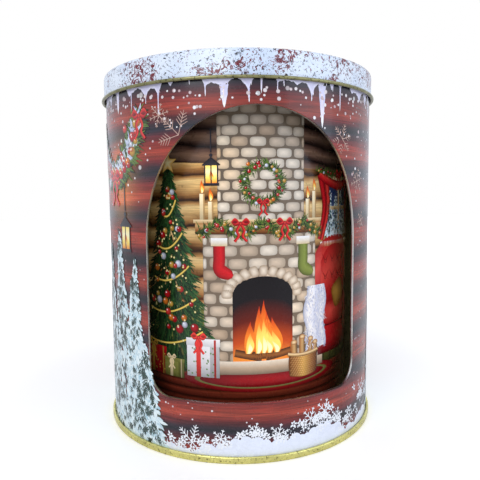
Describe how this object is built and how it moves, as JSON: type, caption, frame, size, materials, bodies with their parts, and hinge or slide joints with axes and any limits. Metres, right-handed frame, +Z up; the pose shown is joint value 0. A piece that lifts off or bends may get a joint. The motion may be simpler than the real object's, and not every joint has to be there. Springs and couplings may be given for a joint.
{
  "type": "musical carousel tin",
  "caption": "Round slip-lid tin with an arched window in its wall; a wind-up musical movement in the base turns the printed drum inside.",
  "frame": {"origin": "middle of the tin's foot, on the surface that it stands on", "axes": "+Z up along the tin's axis, towards the lid; the middle of the window faces -Y"},
  "size_m": [0.1626, 0.1626, 0.2],
  "materials": {
    "printed_body": "glossy litho print",
    "printed_lid": "glossy litho print",
    "printed_drum": "glossy litho print",
    "gold_lacquer": "transparent gold lacquer over tin",
    "bright_tin": "bright tinplate",
    "steel": "satin",
    "nickel_steel": "nickel plated",
    "brass": "satin",
    "cast_metal": "as cast",
    "ivory_plastic": "moulded",
    "black_plastic": "moulded"
  },
  "bodies": {
    "case": {"outer_body": "printed_body", "base_end": "gold_lacquer", "bedplate": "cast_metal", "arbor_bush": "brass", "click_spring": "steel", "click_screw": "steel", "comb": "steel", "comb_screw_1": "steel", "comb_screw_2": "steel", "governor_frame": "black_plastic", "governor_frame_screw": "steel", "movement_cover": "ivory_plastic", "movement_screw_1": "steel", "movement_screw_2": "steel", "movement_screw_3": "steel"},
    "lid": {"lid": "printed_lid"},
    "carousel": {"drum_wall": "printed_drum", "drum_floor": "bright_tin", "drum_rivet_1": "steel", "drum_rivet_2": "steel", "drum_rivet_3": "steel", "turntable": "ivory_plastic", "hub_nut": "brass", "drive_shaft": "steel", "spring_barrel": "brass", "barrel_cover": "brass", "mainspring": "steel"},
    "winder": {"winding_key": "nickel_steel", "winding_arbor": "steel", "ratchet_wheel": "steel"},
    "tune_cylinder": {"pinned_cylinder": "brass", "cylinder_spindle": "steel", "cylinder_pinion": "brass", "cylinder_wheel": "ivory_plastic"},
    "governor_wheel_set": {"governor_wheel": "ivory_plastic", "governor_arbor": "steel"},
    "governor_worm_set": {"governor_worm": "steel", "governor_fan": "black_plastic"}
  },
  "joints": [
    {"name": "lid_lift", "type": "slide", "parent": "case", "child": "lid", "axis": [0, 0, 1], "range_m": [0, 0.06]},
    {"name": "carousel_spin", "type": "hinge", "parent": "case", "child": "carousel", "pos_m": [0, 0, 0.0325], "axis": [0, 0, 1], "continuous": true},
    {"name": "key_turn", "type": "hinge", "parent": "case", "child": "winder", "pos_m": [0, 0, 0.0175], "axis": [0, 0, 1], "continuous": true},
    {"name": "cylinder_spin", "type": "hinge", "parent": "case", "child": "tune_cylinder", "pos_m": [0.0248, 0, 0.03742], "axis": [1, 0, 0], "continuous": true},
    {"name": "governor_wheel_spin", "type": "hinge", "parent": "case", "child": "governor_wheel_set", "pos_m": [0.0425, -0.0101, 0.03742], "axis": [1, 0, 0], "continuous": true},
    {"name": "governor_worm_spin", "type": "hinge", "parent": "case", "child": "governor_worm_set", "pos_m": [0.0425, -0.0168, 0.03742], "axis": [0, 0, 1], "continuous": true}
  ],
  "couplings": [
    {"joint": "cylinder_spin", "follows": "carousel_spin", "ratio": 3},
    {"joint": "governor_wheel_spin", "follows": "carousel_spin", "ratio": -9},
    {"joint": "governor_worm_spin", "follows": "carousel_spin", "ratio": -180}
  ]
}
